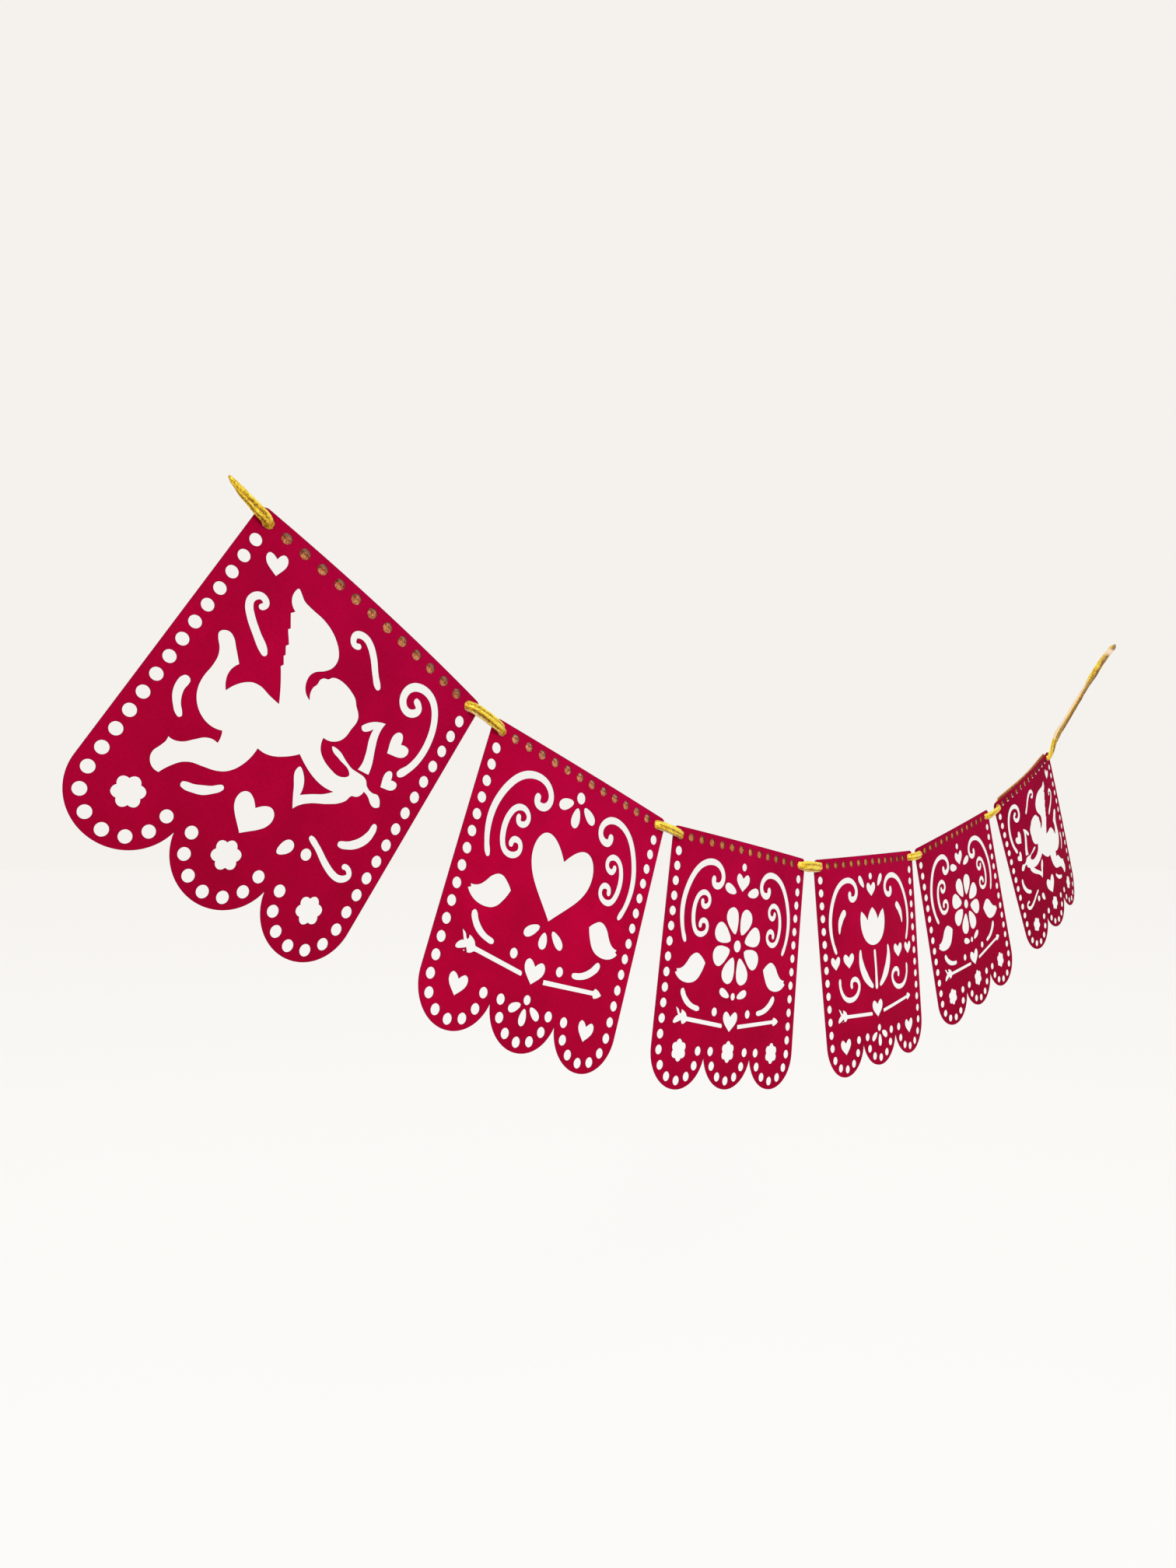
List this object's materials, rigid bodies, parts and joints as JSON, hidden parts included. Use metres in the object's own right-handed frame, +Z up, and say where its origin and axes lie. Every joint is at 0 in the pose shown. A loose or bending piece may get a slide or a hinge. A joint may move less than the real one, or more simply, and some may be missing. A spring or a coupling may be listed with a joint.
{
  "type": "paper bunting",
  "caption": "Cut paper bunting: lace-like scalloped cards with figures, flowers and scrolls cut through, threaded side by side on a gold ribbon",
  "frame": {"origin": "the left end of the ribbon, where it is held", "axes": "+X along the bunting to the viewer's right, +Y away from the viewer, through the cards, +Z up"},
  "size_m": [1.1249, 0.0186, 0.3983],
  "materials": {
    "card": "matt, lightly mottled, felt-like",
    "ribbon": "woven metallic, glittering"
  },
  "bodies": {
    "root": {"card_1_cupid": "card", "card_2_heart": "card", "card_3_daisy": "card", "card_4_tulip": "card", "card_5_daisy": "card", "card_6_cupid": "card", "ribbon": "ribbon"}
  },
  "joints": []
}
